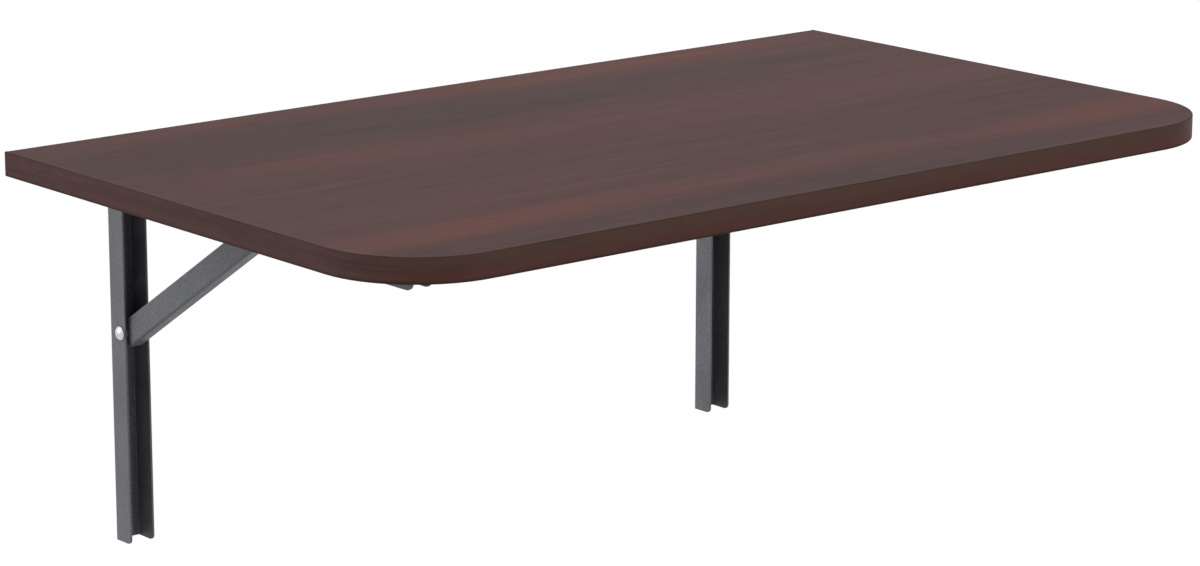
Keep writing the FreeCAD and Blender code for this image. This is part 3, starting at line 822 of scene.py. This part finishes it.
def make_spring(side, finish):
    """Flat spring bent smoothly down in front of the pin, with a finger tab and a hole for its rivet."""
    node = f"{side}_lock_spring"
    low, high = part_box(node)
    rivet = middle_of(f"{side}_lock_rivet")
    end = high.z - low.z
    start = -end * DRILL_START_SHARE
    drill = [(end, 0), (end, LOCK_RIVET_SHANK), (start, LOCK_RIVET_SHANK), (start, 0)]
    hole = bmesh.new()
    turned(hole, drill, Matrix.Translation((rivet.x, rivet.y, high.z)) @ DOWNWARD)
    add_piece(f"{node}_bent", spring_strip(low, high), node, "leaf", finish, hole)


def make_fasteners(finishes):
    for side in SIDES:
        for kind in ("hinge_rivet", "brace_rivet"):
            make_rivet(side, kind, "wall_rails", RIVET_SHANK, RIVET_HEAD_HEIGHT, finishes["zinc"])
        make_rivet(side, "slide_pin", f"{side}_slider", PIN_SHANK, PIN_HEAD_HEIGHT, finishes["zinc"])
        make_screws(side, finishes["zinc"])
        make_lock_rivet(side, finishes["zinc"])
        make_spring(side, finishes["spring_steel"])


# Studio: the floor lies below the board as far as a table stands high.
TABLE_HEIGHT = 0.75
FLOOR_REACH = 80.0
FLOOR_CORNERS = ((-1, -1), (1, -1), (1, 1), (-1, 1))
# The floor's colour in the light that it throws back, and how much of it is plain white where it is seen.
FLOOR_GREY = (0.34, 0.34, 0.34, 1.0)
FLOOR_GLOW = 0.86
SKY_LEVEL = 0.28
WHITE = (1.0, 1.0, 1.0, 1.0)
# Each lamp: name, direction towards the lamp, strength and apparent width in degrees.
LAMPS = (
    ("left_lamp", (-1.0, 0.45, 0.42), 1.52, 35.0),
    ("top_lamp", (-0.1, -0.05, 1.0), 1.54, 45.0),
    ("front_lamp", (0.55, -1.0, 0.3), 1.3, 45.0),
    ("back_lamp", (0.4, 1.0, 0.4), 0.25, 60.0),
)


def seen_share(tree):
    """1 for the rays that show the white surroundings: camera, glossy and transmission rays."""
    path = tree.nodes.new("ShaderNodeLightPath")
    total = path.outputs["Is Camera Ray"]
    for name in ("Is Glossy Ray", "Is Transmission Ray"):
        join = tree.nodes.new("ShaderNodeMath")
        join.operation = "MAXIMUM"
        tree.links.new(total, join.inputs[0])
        tree.links.new(path.outputs[name], join.inputs[1])
        total = join.outputs[0]
    return total


def make_world():
    """White where it is seen or mirrored, and a plain soft light on everything else."""
    world = bpy.data.worlds.new("studio")
    bpy.context.scene.world = world
    world.use_nodes = True
    tree = world.node_tree
    background = tree.nodes["Background"]
    background.inputs["Color"].default_value = WHITE
    level = tree.nodes.new("ShaderNodeMapRange")
    tree.links.new(seen_share(tree), level.inputs["Value"])
    level.inputs["To Min"].default_value = SKY_LEVEL
    level.inputs["To Max"].default_value = 1.0
    tree.links.new(level.outputs["Result"], background.inputs["Strength"])


def floor_paint():
    """Pale paint, nearly white where it is seen, that keeps a shadow; from below it is clear."""
    graph = Graph("floor_paint")
    seen = seen_share(graph.tree)
    paint = graph.node("ShaderNodeBsdfDiffuse")
    graph.feed(paint.inputs["Color"], graph.mix(seen, FLOOR_GREY, WHITE))
    glow = graph.node("ShaderNodeEmission")
    shown = graph.blend(graph.math("MULTIPLY", seen, FLOOR_GLOW), paint.outputs[0], glow.outputs[0])
    under = graph.node("ShaderNodeNewGeometry").outputs["Backfacing"]
    clear = graph.node("ShaderNodeBsdfTransparent")
    graph.show(graph.blend(under, shown, clear.outputs[0]))
    return graph.material


def make_floor():
    """A very large floor for the table's soft shadow."""
    height = cad_box[1].z - TABLE_HEIGHT
    corners = [(x * FLOOR_REACH, y * FLOOR_REACH, height) for x, y in FLOOR_CORNERS]
    mesh = bpy.data.meshes.new("floor")
    mesh.from_pydata(corners, [], [range(len(corners))])
    mesh.materials.append(floor_paint())
    floor = bpy.data.objects.new("floor", mesh)
    bpy.context.scene.collection.objects.link(floor)


def make_lamps():
    for name, direction, strength, width in LAMPS:
        lamp = bpy.data.lights.new(name, "SUN")
        lamp.energy = strength
        lamp.angle = math.radians(width)
        holder = bpy.data.objects.new(name, lamp)
        holder.rotation_mode = "QUATERNION"
        holder.rotation_quaternion = Vector(direction).to_track_quat("Z", "Y")
        bpy.context.scene.collection.objects.link(holder)


# Camera, found from the board's corners in the photograph. Lens and sensor are in millimetres.
CAMERA_PLACE = (-1.8271, -2.3921, 0.7568)
CAMERA_AZIMUTH = math.radians(39.897)
CAMERA_TILT = math.radians(13.712)
CAMERA_ROLL = math.radians(0.117)
CAMERA_LENS = 118.83
SENSOR_WIDTH = 36.0


def make_camera():
    data = bpy.data.cameras.new("camera")
    data.sensor_fit = "HORIZONTAL"
    data.sensor_width = SENSOR_WIDTH
    data.lens = CAMERA_LENS
    level = math.cos(CAMERA_TILT)
    forward = Vector((
        level * math.sin(CAMERA_AZIMUTH),
        level * math.cos(CAMERA_AZIMUTH),
        -math.sin(CAMERA_TILT),
    ))
    right = forward.cross(Vector((0, 0, 1))).normalized()
    up = right.cross(forward)
    tilted = right * math.cos(CAMERA_ROLL) + up * math.sin(CAMERA_ROLL)
    upright = tilted.cross(forward)
    turn = Matrix((tilted, upright, -forward)).transposed()
    camera = bpy.data.objects.new("camera", data)
    camera.matrix_world = Matrix.Translation(CAMERA_PLACE) @ turn.to_4x4()
    bpy.context.scene.collection.objects.link(camera)
    bpy.context.scene.camera = camera


make_camera()
make_world()
make_floor()
make_lamps()
make_fasteners(dress_frame())
bpy.context.scene.view_settings.view_transform = "Standard"
